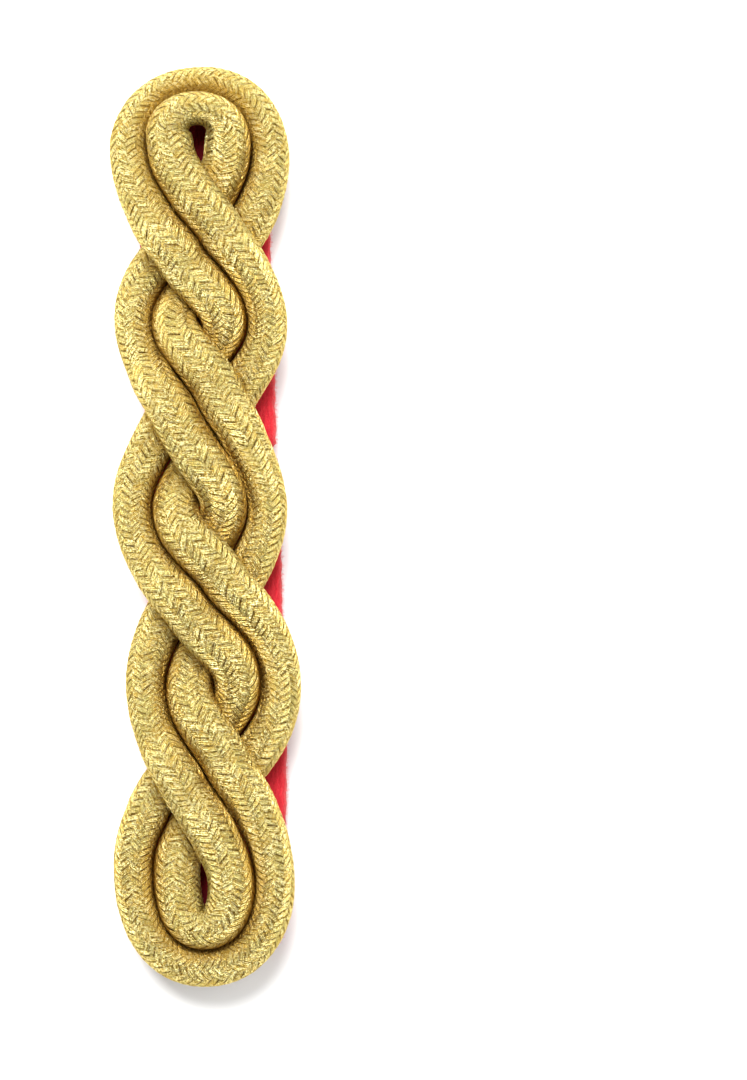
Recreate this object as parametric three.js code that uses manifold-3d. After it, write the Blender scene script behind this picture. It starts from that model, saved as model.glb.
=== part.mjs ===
// A twisted shoulder cord on a cloth backing, lying face up on a surface. All lengths are in millimetres.
// X runs across the cord, Y along it towards the button end, Z up. The surface is at Z = 0, and the
// origin is under the middle of the whole piece.

import * as THREE from 'three';
import { mergeVertices } from 'three/addons/utils/BufferGeometryUtils.js';
import Module from 'manifold-3d';

// Driving sizes of the plaited cords
const LENGTH = 140; // over the loops at both ends
const CORD_DIAMETER = 6.3; // a single braided cord, before it is pressed flat
const CORD_FLATNESS = 0.85; // height of a pressed cord, as a share of its diameter
const CROSSING_WIDTH = 1.17; // width of a cord where the pairs cross, as a share of its diameter
const INSIDE_WIDENING = 0.15; // of the cord on the inside of a bend, as a share of its diameter
const CORD_CLEARANCE = 0.2; // air between two cords that touch
const FOLD_LIMIT = 0.96; // how near the inside of a bend comes to the bend's middle, as a share of the way
const SQUEEZE_POWER = 8; // more makes the cord stay round nearer to that limit
const CORD_SECTIONS = 150;
const CORD_SIDES = 10;

// Driving sizes of the cloth backing
const BACKING_THICKNESS = 2.6;
const BACKING_WIDTH = 22;
const BACKING_CORNER = 4;
const BACKING_BEVEL = 0.5;
const GRIPPED_BEVEL = 0.5; // inside the keeper, as a share of that

// Driving sizes of the leather strap
const STRAP_THICKNESS = 1.2;
const STRAP_WIDTH = 18.4;
const STRAP_HOLE = 3.3; // diameter of the button hole
const STRAP_HOLE_INSET = 10.2; // from the round end of the strap to the middle of its hole
const STRAP_CORNER = 0.6; // at its cut end
const STRAP_BEVEL = 0.15;

// Driving sizes of the leather keeper round backing and strap
const KEEPER_WALL = 1;
const KEEPER_WIDTH = 10; // along the strap
const KEEPER_BEND = 1.2; // outer radius where it folds round the edges
const GRIP_SQUEEZE = 1.8; // how far it draws in the right edge of the soft backing
const GRIP_EASE = 2; // over which the backing recovers on either side
const EASE_STEPS = 4; // sections of the backing over that stretch

const CLEARANCE = 0.3; // air between neighbouring pieces

// How the cords settle against each other, worked out round by round
const LINE_STEPS = 60; // on each pass or turn of the pair
const SETTLING_POINTS = 300; // on each cord
const SETTLING_ROUNDS = 200;
const FINAL_ROUNDS = 40; // at the end, of pushing apart alone
const SINKING = 0.0015; // each round, in cord diameters
const HOLD = 0.12; // each round, share of the way back to the place seen from above
const SMOOTHING = 0.3; // each round, share of the way to the middle between neighbours
const STIFF_REACH = 3; // how many points off those neighbours are
const SAME_STRETCH = 1.9; // points of one cord nearer than this many diameters along it never collide
const NEAR = 1.6; // points further apart than this many diameters, seen from above, never touch

// Places along the cord, as shares of its length from the button end
const STRAP_TOP = 0.042;
const STRAP_BOTTOM = 0.94;
const KEEPER_MIDDLE = 0.46;
const BACKING_TOP = 0.024;
const BACKING_BOTTOM = 0.965;

// The two cords run side by side as a pair. The five loops of the pair, from the button end: where its
// middle line stands furthest out on either side, along in shares of LENGTH, reach in cord diameters.
const LOOPS = [
  { leftAlong: 0.085, leftReach: -1.31, rightAlong: 0.094, rightReach: 1.05 },
  { leftAlong: 0.276, leftReach: -0.85, rightAlong: 0.27, rightReach: 0.62 },
  { leftAlong: 0.484, leftReach: -0.97, rightAlong: 0.477, rightReach: 0.75 },
  { leftAlong: 0.674, leftReach: -0.72, rightAlong: 0.668, rightReach: 1.17 },
  { leftAlong: 0.87, leftReach: -1.2, rightAlong: 0.888, rightReach: 1.17 },
];
// How far apart the two cords lie seen from above, in cord diameters, round the loops at the two ends
const TOP_SPREAD = 0.5;
const BOTTOM_SPREAD = 0.92;
// How much narrower the inner cord gets there, where it turns tightly, as a share of its diameter
const TOP_PINCH = 0.33;
const BOTTOM_PINCH = 0.1;
const END_ROUNDNESS = 0.9; // 1 makes the end loops elliptical, and less makes them fuller

// The edges of the backing at places along it, in shares of BACKING_WIDTH from the middle line
const BACKING_EDGES = [
  { along: 0, left: -0.43, right: 0.44 },
  { along: 0.19, left: -0.432, right: 0.455 },
  { along: 0.36, left: -0.4, right: 0.495 },
  { along: 0.58, left: -0.405, right: 0.541 },
  { along: 0.77, left: -0.415, right: 0.572 },
  { along: 0.86, left: -0.475, right: 0.56 },
  { along: 1, left: -0.48, right: 0.56 },
];

// How the strap lies across the backing, in shares of BACKING_WIDTH from the middle line
const STRAP_LINE = [
  { along: 0, shift: -0.05 },
  { along: 0.2, shift: -0.045 },
  { along: 0.36, shift: -0.01 },
  { along: 0.5, shift: 0.035 },
  { along: 0.67, shift: 0.06 },
  { along: 0.82, shift: 0.02 },
  { along: 1, shift: 0 },
];

// Levels in the stack, from the surface up, where the ends of the piece touch the surface
const BOW_REACH = 40; // from the keeper to where the strap touches the surface
const BACKING_LEVEL = STRAP_THICKNESS + CLEARANCE;
const CORD_LEVEL = BACKING_LEVEL + BACKING_THICKNESS + CLEARANCE;

const LINE_SHARES = Array.from({ length: LINE_STEPS }, (_, step) => step / LINE_STEPS);

const alongToY = (share) => LENGTH * (0.5 - share);
const yToAlong = (y) => 0.5 - y / LENGTH;

const KEEPER_Y = alongToY(KEEPER_MIDDLE);
const GRIP_HALF = KEEPER_WIDTH / 2 + CLEARANCE;
const STRIP_STEP = 3; // between the sections of the backing and the strap
const CORNER_TURN = [15, 30, 45, 60, 75]; // degrees round a corner of them, at its sections

// The keeper holds the piece up in the middle, and from there it sags to the surface at both ends.
function lift(y) {
  const sag = THREE.MathUtils.smoothstep(Math.abs(y - KEEPER_Y), GRIP_HALF, GRIP_HALF + BOW_REACH);
  return (KEEPER_WALL + CLEARANCE) * (1 - sag);
}

// Reads a column of a table at any place along, easing between its rows.
function columnAt(rows, column, along) {
  const last = rows.length - 1;
  const next = Math.max(1, rows.findIndex((row) => row.along >= along));
  const upper = along >= rows[last].along ? last : next;
  const [from, to] = [rows[upper - 1], rows[upper]];
  const share = THREE.MathUtils.clamp((along - from.along) / (to.along - from.along), 0, 1);
  const eased = share * share * (3 - 2 * share);
  return from[column] + (to[column] - from[column]) * eased;
}

// The middle line of the pair

// One pass from a side of one loop to the other side of the next. It starts and ends along Y. The bend
// is 1 where the outer cord is on the outside of it, and -1 where it is on the inside.
function passBetween(from, to, over, bend) {
  return LINE_SHARES.map((share) => {
    const rise = Math.sin(Math.PI * share);
    return {
      x: from.x + (to.x - from.x) * (0.5 - 0.5 * Math.cos(Math.PI * share)),
      y: from.y + (to.y - from.y) * share,
      level: over ? rise : -rise,
      wide: 1 + (CROSSING_WIDTH - 1) * rise ** 2,
      spread: 1 + (CROSSING_WIDTH - 1) * rise ** 2,
      bend: bend * Math.cos(Math.PI * share),
      pinch: 0,
    };
  });
}

// The half turn round an end, from one side of its loop to the other, out to the given Y.
function turnRound(from, to, { endY, spread, pinch }) {
  return LINE_SHARES.map((share) => {
    const [across, out] = [Math.cos(Math.PI * share), Math.sin(Math.PI * share)];
    const sideY = from.y + (to.y - from.y) * share;
    return {
      x: (from.x + to.x) / 2 + ((from.x - to.x) / 2) * Math.sign(across) * Math.abs(across) ** END_ROUNDNESS,
      y: sideY + (endY - sideY) * out ** END_ROUNDNESS,
      level: 0,
      wide: 1,
      spread: 1 + (spread - 1) * out,
      bend: 1,
      pinch: pinch * out ** 2,
    };
  });
}

// The whole closed line: down through the loops, crossing at each waist, round the end and back up.
function pairLine() {
  const left = LOOPS.map((row) => ({ x: row.leftReach * CORD_DIAMETER, y: alongToY(row.leftAlong) }));
  const right = LOOPS.map((row) => ({ x: row.rightReach * CORD_DIAMETER, y: alongToY(row.rightAlong) }));
  const side = (loop, isLeft) => (isLeft ? left[loop] : right[loop]);
  const last = LOOPS.length - 1;
  const topY = LENGTH / 2 - (CORD_DIAMETER / 2) * (1 + TOP_SPREAD);
  const bottomY = -LENGTH / 2 + (CORD_DIAMETER / 2) * (1 + BOTTOM_SPREAD);
  const line = turnRound(right[0], left[0], { endY: topY, spread: TOP_SPREAD, pinch: TOP_PINCH });
  for (let loop = 0; loop < last; loop += 1) {
    const isLeft = loop % 2 === 0;
    line.push(...passBetween(side(loop, isLeft), side(loop + 1, !isLeft), isLeft, isLeft ? 1 : -1));
  }
  const bottomEnd = { endY: bottomY, spread: BOTTOM_SPREAD, pinch: BOTTOM_PINCH };
  line.push(...turnRound(left[last], right[last], bottomEnd));
  for (let loop = last; loop > 0; loop -= 1) {
    const isLeft = (last - loop) % 2 === 1;
    line.push(...passBetween(side(loop, isLeft), side(loop - 1, !isLeft), !isLeft, isLeft ? -1 : 1));
  }
  return line;
}

// Evenly spaced points on a closed line of points, with everything else that they carry.
function evenly(points, count) {
  const next = (i) => points[(i + 1) % points.length];
  const lengths = points.map((p, i) => Math.hypot(next(i).x - p.x, next(i).y - p.y, next(i).z - p.z));
  const total = lengths.reduce((sum, length) => sum + length);
  const even = [];
  let segment = 0;
  let passed = 0;
  for (let k = 0; k < count; k += 1) {
    const along = (total * k) / count;
    while (passed + lengths[segment] < along) {
      passed += lengths[segment];
      segment += 1;
    }
    const share = (along - passed) / lengths[segment];
    const [from, to] = [points[segment], next(segment)];
    const mixed = Object.keys(from).map((key) => [key, from[key] + (to[key] - from[key]) * share]);
    even.push(Object.fromEntries(mixed));
  }
  return even;
}

// One cord of the pair, which lies to one side of the middle line. Heights are measured from the face
// of the backing, as if the cords were still round.
function cordBeside(line, sideways, inner) {
  const beside = line.map((point, i) => {
    const before = line[(i + line.length - 1) % line.length];
    const after = line[(i + 1) % line.length];
    const length = Math.hypot(after.x - before.x, after.y - before.y);
    const half = (CORD_DIAMETER / 2) * point.spread * sideways;
    const stacked = inner ? Math.sqrt(1 - Math.min(1, point.spread) ** 2) : 0;
    const widening = INSIDE_WIDENING * Math.max(0, -sideways * point.bend);
    return {
      x: point.x + (half * (after.y - before.y)) / length,
      y: point.y - (half * (after.x - before.x)) / length,
      z: CORD_DIAMETER * (1 + point.level / 2 + stacked),
      wide: point.wide + widening - (inner ? point.pinch : 0),
    };
  });
  return evenly(beside, SETTLING_POINTS);
}

// Settling of the cords onto the backing and each other

// A cord sinks, keeps its place seen from above and evens out its bends.
function sink(cord) {
  const count = cord.points.length;
  cord.points = cord.points.map((point, i) => {
    const before = cord.points[(i + count - STIFF_REACH) % count];
    const after = cord.points[(i + STIFF_REACH) % count];
    const place = cord.places[i];
    return {
      x: point.x + HOLD * (place.x - point.x),
      y: point.y + HOLD * (place.y - point.y),
      z: point.z + SMOOTHING * ((before.z + after.z) / 2 - point.z) - SINKING * CORD_DIAMETER,
      wide: point.wide,
    };
  });
}

// All pairs of points that could ever touch: near each other seen from above, and not on one stretch.
function nearPairs(cords) {
  const all = cords.flatMap((cord, which) => cord.places.map((place, i) => ({ place, which, i })));
  const [first, second] = cords[0].places;
  const stretch = (SAME_STRETCH * CORD_DIAMETER) / Math.hypot(second.x - first.x, second.y - first.y);
  const pairs = [];
  for (let a = 0; a < all.length; a += 1) {
    for (let b = a + 1; b < all.length; b += 1) {
      const [one, two] = [all[a], all[b]];
      const seenApart = Math.hypot(one.place.x - two.place.x, one.place.y - two.place.y);
      const steps = Math.abs(one.i - two.i);
      const sameStretch = one.which === two.which && Math.min(steps, SETTLING_POINTS - steps) < stretch;
      if (seenApart < NEAR * CORD_DIAMETER && !sameStretch) pairs.push([a, b]);
    }
  }
  return pairs;
}

// Every two points that lie nearer than a diameter share the push apart. Across, a diameter counts for
// as much more as the cords are wider there.
function pushApart(cords, pairs) {
  const points = cords.flatMap((cord) => cord.points);
  const pushes = points.map(() => ({ x: 0, y: 0, z: 0, count: 0 }));
  pairs.forEach(([a, b]) => {
    const wide = (points[a].wide + points[b].wide) / 2;
    const x = points[a].x - points[b].x;
    const y = points[a].y - points[b].y;
    const z = points[a].z - points[b].z;
    const distance = Math.hypot(x / wide, y / wide, z);
    if (distance >= CORD_DIAMETER) return;
    const share = (CORD_DIAMETER - distance) / (2 * distance);
    [[pushes[a], share], [pushes[b], -share]].forEach(([push, by]) => {
      push.x += x * by;
      push.y += y * by;
      push.z += z * by;
      push.count += 1;
    });
  });
  points.forEach((point, k) => {
    const push = pushes[k];
    const count = Math.max(1, push.count);
    point.x += push.x / count;
    point.y += push.y / count;
    point.z = Math.max(point.z + push.z / count, CORD_DIAMETER / 2);
  });
}

function settledCords() {
  const line = pairLine();
  const cords = [cordBeside(line, 1, false), cordBeside(line, -1, true)].map((places) => ({
    places,
    points: places.map((place) => ({ ...place })),
  }));
  const pairs = nearPairs(cords);
  for (let round = 0; round < SETTLING_ROUNDS + FINAL_ROUNDS; round += 1) {
    if (round < SETTLING_ROUNDS) cords.forEach(sink);
    pushApart(cords, pairs);
  }
  return cords.map((cord) => cord.points);
}

// Bodies

// A closed skin over a row of outlines, each with as many corners as the next. The row either goes
// round to its first outline again or is capped at both ends.
function loft(outlines, round = false) {
  const corners = outlines[0].length;
  const index = [];
  for (let row = 0; row < outlines.length - (round ? 0 : 1); row += 1) {
    for (let k = 0; k < corners; k += 1) {
      const [here, beside] = [k, (k + 1) % corners].map((corner) => row * corners + corner);
      const nextRow = ((row + 1) % outlines.length) * corners;
      const [ahead, across] = [nextRow + k, nextRow + ((k + 1) % corners)];
      index.push(here, beside, ahead, beside, across, ahead);
    }
  }
  const end = (outlines.length - 1) * corners;
  for (let k = 1; k + 1 < corners && !round; k += 1) index.push(0, k + 1, k, end, end + k, end + k + 1);
  const geometry = new THREE.BufferGeometry();
  geometry.setAttribute('position', new THREE.Float32BufferAttribute(outlines.flat(2), 3));
  geometry.setIndex(index);
  geometry.computeVertexNormals();
  return geometry;
}

// The outline of a flat strip at one place along it, with its four edges bevelled.
function stripOutline(y, left, right, bottom, top, bevel) {
  return [
    [left, y, bottom + bevel],
    [left + bevel, y, bottom],
    [right - bevel, y, bottom],
    [right, y, bottom + bevel],
    [right, y, top - bevel],
    [right - bevel, y, top],
    [left + bevel, y, top],
    [left, y, top - bevel],
  ];
}

// Places along a strip with rounded corners, with how far the corner pulls the edge in at each. Besides
// even steps it has the marked places.
function stripPlaces({ topY, bottomY, topCorner, bottomCorner, marks = [] }) {
  const turn = CORNER_TURN.map((angle) => THREE.MathUtils.degToRad(angle));
  const inset = (corner, angle) => corner * (1 - Math.sin(angle));
  const topTurn = turn.map((angle) => ({
    y: topY - topCorner * (1 - Math.cos(angle)),
    inset: inset(topCorner, angle),
  }));
  const bottomTurn = turn.toReversed().map((angle) => ({
    y: bottomY + bottomCorner * (1 - Math.cos(angle)),
    inset: inset(bottomCorner, angle),
  }));
  const from = topY - topCorner;
  const length = from - (bottomY + bottomCorner);
  const steps = Math.round(length / STRIP_STEP);
  const even = Array.from({ length: steps + 1 }, (_, k) => from - (length * k) / steps);
  const apart = even.filter((y) => marks.every((mark) => Math.abs(mark - y) > STRIP_STEP / 4));
  const straight = [...apart, ...marks].sort((one, two) => two - one).map((y) => ({ y, inset: 0 }));
  return [...topTurn, ...straight, ...bottomTurn];
}

// The keeper grips the soft backing, so there the backing is thinner and its right edge is drawn in.
function grip(y) {
  return 1 - THREE.MathUtils.smoothstep(Math.abs(y - KEEPER_Y), GRIP_HALF, GRIP_HALF + GRIP_EASE);
}

function backingEdges(y) {
  const along = yToAlong(y);
  const drawnIn = GRIP_SQUEEZE * grip(y);
  return {
    left: columnAt(BACKING_EDGES, 'left', along) * BACKING_WIDTH,
    right: columnAt(BACKING_EDGES, 'right', along) * BACKING_WIDTH - drawnIn,
  };
}

function makeBacking() {
  const places = stripPlaces({
    topY: alongToY(BACKING_TOP),
    bottomY: alongToY(BACKING_BOTTOM),
    topCorner: BACKING_CORNER,
    bottomCorner: BACKING_CORNER,
    marks: Array.from({ length: EASE_STEPS + 1 }, (_, step) => (GRIP_EASE * step) / EASE_STEPS).flatMap(
      (off) => [KEEPER_Y - GRIP_HALF - off, KEEPER_Y + GRIP_HALF + off],
    ),
  });
  const outlines = places.map(({ y, inset }) => {
    const { left, right } = backingEdges(y);
    const under = lift(y) + BACKING_LEVEL;
    const pinch = (KEEPER_WALL + CLEARANCE) * grip(y);
    const over = under + BACKING_THICKNESS - pinch;
    const bevel = BACKING_BEVEL * THREE.MathUtils.lerp(1, GRIPPED_BEVEL, grip(y));
    return stripOutline(y, left + inset, right - inset, under, over, bevel);
  });
  return loft(outlines);
}

// Joins and cuts are made on solids with their shared corners merged.
const wasm = await Module();
wasm.setup();

function toSolid(geometry) {
  const bare = new THREE.BufferGeometry();
  bare.setAttribute('position', geometry.attributes.position);
  bare.setIndex(geometry.index);
  const merged = mergeVertices(bare);
  const vertProperties = new Float32Array(merged.attributes.position.array);
  const triVerts = new Uint32Array(merged.index.array);
  return new wasm.Manifold(new wasm.Mesh({ numProp: 3, vertProperties, triVerts }));
}

function toGeometry(solid) {
  const { vertProperties, triVerts } = solid.getMesh();
  const geometry = new THREE.BufferGeometry();
  geometry.setAttribute('position', new THREE.BufferAttribute(vertProperties, 3));
  geometry.setIndex(new THREE.BufferAttribute(triVerts, 1));
  geometry.computeVertexNormals();
  return geometry;
}

function makeStrap() {
  const top = alongToY(STRAP_TOP);
  const middleAt = (y) => columnAt(STRAP_LINE, 'shift', yToAlong(y)) * BACKING_WIDTH;
  const places = stripPlaces({
    topY: top,
    bottomY: alongToY(STRAP_BOTTOM),
    topCorner: STRAP_WIDTH / 2,
    bottomCorner: STRAP_CORNER,
  });
  const outlines = places.map(({ y, inset }) => {
    const half = STRAP_WIDTH / 2 - inset;
    const [left, right] = [middleAt(y) - half, middleAt(y) + half];
    return stripOutline(y, left, right, lift(y), lift(y) + STRAP_THICKNESS, STRAP_BEVEL);
  });
  const holeY = top - STRAP_HOLE_INSET;
  const punch = new THREE.CylinderGeometry(STRAP_HOLE / 2, STRAP_HOLE / 2, 4 * STRAP_THICKNESS, 20);
  punch.rotateX(Math.PI / 2);
  punch.translate(middleAt(holeY), holeY, lift(holeY) + STRAP_THICKNESS / 2);
  return toGeometry(toSolid(loft(outlines)).subtract(toSolid(punch)));
}

// A rounded rectangle in the plane across the strap.
function roundedRectangle(path, left, right, bottom, top, radius) {
  path.moveTo(left + radius, bottom);
  path.lineTo(right - radius, bottom);
  path.absarc(right - radius, bottom + radius, radius, -Math.PI / 2, 0);
  path.absarc(right - radius, top - radius, radius, 0, Math.PI / 2);
  path.absarc(left + radius, top - radius, radius, Math.PI / 2, Math.PI);
  path.absarc(left + radius, bottom + radius, radius, Math.PI, 1.5 * Math.PI);
  return path;
}

// A band round the strap and the backing, its front wall sunk level with the face of the backing.
function makeKeeper() {
  const ends = [KEEPER_Y - KEEPER_WIDTH / 2, KEEPER_Y + KEEPER_WIDTH / 2].map(backingEdges);
  const left = Math.min(...ends.map((edges) => edges.left)) - CLEARANCE;
  const right = Math.max(...ends.map((edges) => edges.right)) + CLEARANCE;
  const top = KEEPER_WALL + CLEARANCE + BACKING_LEVEL + BACKING_THICKNESS;
  const wall = KEEPER_WALL;
  const band = roundedRectangle(new THREE.Shape(), left - wall, right + wall, 0, top, KEEPER_BEND);
  const inside = roundedRectangle(new THREE.Path(), left, right, wall, top - wall, KEEPER_BEND - wall);
  band.holes.push(inside);
  const geometry = new THREE.ExtrudeGeometry(band, {
    depth: KEEPER_WIDTH,
    bevelEnabled: false,
    curveSegments: 4,
  });
  geometry.rotateX(Math.PI / 2);
  geometry.translate(0, KEEPER_Y + KEEPER_WIDTH / 2, 0);
  return geometry;
}

// How sharply a line turns at its middle one of three points, seen from above: one over the radius of
// the bend, more than 0 to the left.
function bendAt(before, here, after) {
  const [inX, inY] = [here.x - before.x, here.y - before.y];
  const [outX, outY] = [after.x - here.x, after.y - here.y];
  const turn = Math.atan2(inX * outY - inY * outX, inX * outX + inY * outY);
  return (2 * turn) / (Math.hypot(inX, inY) + Math.hypot(outX, outY));
}

// How far a corner of a section stands to the left. Towards the middle of a tight bend it stays short
// of that middle, so that the inside of the bend is squeezed and doesn't fold over itself.
function squeezed(offset, bend) {
  if (offset * bend <= 0) return offset;
  return offset / (1 + ((offset * bend) / FOLD_LIMIT) ** SQUEEZE_POWER) ** (1 / SQUEEZE_POWER);
}

// A closed tube along a settled cord, pressed flat and laid over the bow of the backing.
function makeCord(points) {
  const sections = evenly(points, CORD_SECTIONS);
  const radius = (CORD_DIAMETER - CORD_CLEARANCE) / 2;
  const upward = new THREE.Vector3(0, 0, 1);
  const outlines = sections.map((section, i) => {
    const { x, y, z, wide } = section;
    const before = sections[(i + CORD_SECTIONS - 1) % CORD_SECTIONS];
    const after = sections[(i + 1) % CORD_SECTIONS];
    const bend = bendAt(before, section, after);
    const ahead = new THREE.Vector3(after.x - before.x, after.y - before.y, after.z - before.z).normalize();
    const side = upward.clone().cross(ahead).normalize();
    const up = ahead.clone().cross(side);
    return Array.from({ length: CORD_SIDES }, (_, k) => {
      const angle = (2 * Math.PI * k) / CORD_SIDES;
      const corner = new THREE.Vector3(x, y, z)
        .addScaledVector(side, squeezed(Math.cos(angle) * radius * wide, bend))
        .addScaledVector(up, Math.sin(angle) * radius);
      return [corner.x, corner.y, corner.z * CORD_FLATNESS + CORD_LEVEL + lift(corner.y)];
    });
  });
  return loft(outlines, true);
}

// The piece

const gold = { color: 0xd4b25a, roughness: 0.38, metalness: 0.7 };
const redCloth = { color: 0xc41f26, roughness: 0.95, metalness: 0 };
const redLeather = { color: 0xc8323e, roughness: 0.5, metalness: 0 };

function piece(name, geometry, look) {
  const mesh = new THREE.Mesh(geometry, new THREE.MeshStandardMaterial(look));
  mesh.name = name;
  return mesh;
}

const [outerPoints, innerPoints] = settledCords();
const shoulderCord = new THREE.Group();
shoulderCord.add(
  piece('outer_cord', makeCord(outerPoints), gold),
  piece('inner_cord', makeCord(innerPoints), gold),
  piece('backing', makeBacking(), redCloth),
  piece('strap', makeStrap(), redLeather),
  piece('keeper', makeKeeper(), redLeather),
);

export default shoulderCord;
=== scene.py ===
"""A twisted shoulder cord on a red cloth backing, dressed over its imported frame.

Sizes in the tables are millimetres, as in the part's own source, and become metres where meshes are
made. X runs across the piece, Y along it towards the button end, Z up, and the floor is at Z = 0.
"""

import math

import bpy
import numpy as np
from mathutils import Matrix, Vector, noise


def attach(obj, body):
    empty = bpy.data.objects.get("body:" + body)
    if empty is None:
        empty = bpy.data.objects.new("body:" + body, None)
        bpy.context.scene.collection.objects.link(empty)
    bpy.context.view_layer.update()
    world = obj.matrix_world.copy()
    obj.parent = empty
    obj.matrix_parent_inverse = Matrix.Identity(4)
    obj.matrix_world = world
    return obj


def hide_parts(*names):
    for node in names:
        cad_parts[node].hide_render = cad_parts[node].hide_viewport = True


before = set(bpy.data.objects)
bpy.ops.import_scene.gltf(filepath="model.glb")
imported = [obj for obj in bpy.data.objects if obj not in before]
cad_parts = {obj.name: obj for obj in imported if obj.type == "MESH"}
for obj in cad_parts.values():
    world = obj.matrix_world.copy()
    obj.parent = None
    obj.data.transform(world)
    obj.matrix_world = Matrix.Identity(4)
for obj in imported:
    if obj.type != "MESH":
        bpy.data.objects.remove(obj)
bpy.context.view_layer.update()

MM = 0.001
# What each piece's random draws start from
OUTER_SEED, INNER_SEED, HOLES_SEED, FUZZ_SEED = 1, 2, 5, 10

# The part's own sizes
LENGTH = 140.0
CORD_DIAMETER = 6.3
CORD_FLATNESS = 0.85  # height of the pressed cord as a share of its diameter
CROSSING_WIDTH = 1.17  # of a cord at a crossing, as a share of its diameter
INSIDE_WIDENING = 0.15  # of the cord on the inside of a bend
FOLD_LIMIT = 0.96  # how far the inside of a bend may fold, as a share of its radius
SQUEEZE_POWER = 8  # how sharply it stops there
BACKING_THICKNESS = 2.6
BACKING_WIDTH = 22.0
BACKING_CORNER = 4.0
STRAP_THICKNESS = 1.2
STRAP_WIDTH = 18.4
STRAP_HOLE = 3.3
STRAP_HOLE_INSET = 10.2
KEEPER_WALL = 1.0
KEEPER_WIDTH = 10.0
KEEPER_BEND = 1.2
GRIP_SQUEEZE = 1.8  # by which the keeper draws in the backing's right edge
GRIP_EASE = 2.0
CLEARANCE = 0.3

# How the cords settle on the backing
LINE_STEPS = 60  # of the drawn line from loop to loop
SETTLING_POINTS = 300  # on each cord
SETTLING_ROUNDS = 200
FINAL_ROUNDS = 40  # that only push the cords apart
SINKING = 0.0015  # in each round, in diameters
HOLD = 0.12  # share of the way back to the drawn line, in each round
SMOOTHING = 0.3  # share of the way to the height of a cord's points nearby, in each round
STIFF_REACH = 3  # points that a cord's stiffness reaches
SAME_STRETCH = 1.9  # in diameters: nearer points of one cord don't push
NEAR = 1.6  # in diameters: farther points never touch

# Where the pieces start and end, as shares of the length
STRAP_TOP = 0.042
STRAP_BOTTOM = 0.94
KEEPER_MIDDLE = 0.46
BACKING_TOP = 0.024
BACKING_BOTTOM = 0.965

# The end loops
TOP_SPREAD = 0.5  # between the middle lines of the pair, in diameters
BOTTOM_SPREAD = 0.92
TOP_PINCH = 0.33  # by which the inner cord narrows round the loop's hole, in diameters
BOTTOM_PINCH = 0.1
END_ROUNDNESS = 0.9  # 1 is half an oval; less makes it fuller

# Levels and places that follow
BOW_REACH = 40.0  # from the keeper to where the strap touches the floor
BACKING_LEVEL = STRAP_THICKNESS + CLEARANCE
CORD_LEVEL = BACKING_LEVEL + BACKING_THICKNESS + CLEARANCE
KEEPER_Y = LENGTH * (0.5 - KEEPER_MIDDLE)
GRIP_HALF = KEEPER_WIDTH / 2 + CLEARANCE

# The loops of the pair: left along, left reach, right along, right reach
LOOPS = np.array([
    (0.085, -1.31, 0.094, 1.05),
    (0.276, -0.85, 0.27, 0.62),
    (0.484, -0.97, 0.477, 0.75),
    (0.674, -0.72, 0.668, 1.17),
    (0.87, -1.2, 0.888, 1.17),
])
# The backing's edges: along, left, right, and the strap's line: along, shift
BACKING_EDGES = np.array([
    (0, -0.43, 0.44),
    (0.19, -0.432, 0.455),
    (0.36, -0.4, 0.495),
    (0.58, -0.405, 0.541),
    (0.77, -0.415, 0.572),
    (0.86, -0.475, 0.56),
    (1, -0.48, 0.56),
])
STRAP_LINE = np.array([
    (0, -0.05),
    (0.2, -0.045),
    (0.36, -0.01),
    (0.5, 0.035),
    (0.67, 0.06),
    (0.82, 0.02),
    (1, 0),
])

# The braid of a cord
BRAID_COLUMNS = 12  # of floats round the cord, slanting left and right in turn
BRAID_PITCH = 1.1  # from one float to the next in a column
BRAID_RADIUS = 3.04  # of the mean skin, before the cord is pressed flat
BRAID_CREST = 0.07  # of a float above the mean skin
FLOAT_DIP = 0.1  # of its two ends, under the floats beside it
FLOAT_ROUNDING = 0.1  # of its two sides
FLOAT_OVERLAP = 0.3  # of its ends beyond its own column
CORE_RADIUS = 2.9
CORE_SIDES = 16
GROOVE_SIDES = 16  # round a cord, where its nearness to other stretches is measured
ROUND_POWER = 2.25  # 2 is an oval cord; more makes it lie flatter and fuller

BACKING_TOP_Y = LENGTH * (0.5 - BACKING_TOP)
BACKING_BOTTOM_Y = LENGTH * (0.5 - BACKING_BOTTOM)
BACKING_ROWS = 180  # between its rounded corners
EDGE_WORN = 0.2  # off the backing's edges, all round
EDGE_ROUNDING = 0.9
FACE_POINTS = 33  # across each face of the backing
SIDE_POINTS = 5  # round each of its sides
FIBRES = 5200
FIBRE_RADIUS = 0.022

STRAP_ROWS = 250  # below its round end
STRAP_COLUMNS = 47
KEEPER_ROWS = 25  # on each of its two faces


def smoothstep(x, low, high):
    share = np.clip((x - low) / (high - low), 0, 1)
    return share * share * (3 - 2 * share)


def lift(y):
    """How high the strap's underside is off the floor: it bows up to the keeper."""
    sag = smoothstep(np.abs(y - KEEPER_Y), GRIP_HALF, GRIP_HALF + BOW_REACH)
    return (KEEPER_WALL + CLEARANCE) * (1 - sag)


def grip(y):
    """1 under the keeper, 0 away from it."""
    return 1 - smoothstep(np.abs(y - KEEPER_Y), GRIP_HALF, GRIP_HALF + GRIP_EASE)


def column_at(rows, column, along):
    """Reads a column of a table at places along, easing between its rows."""
    upper = np.clip(np.searchsorted(rows[:, 0], along, side="left"), 1, len(rows) - 1)
    start, end = rows[upper - 1], rows[upper]
    share = np.clip((along - start[..., 0]) / (end[..., 0] - start[..., 0]), 0, 1)
    eased = share * share * (3 - 2 * share)
    return start[..., column] + (end[..., column] - start[..., column]) * eased


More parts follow.
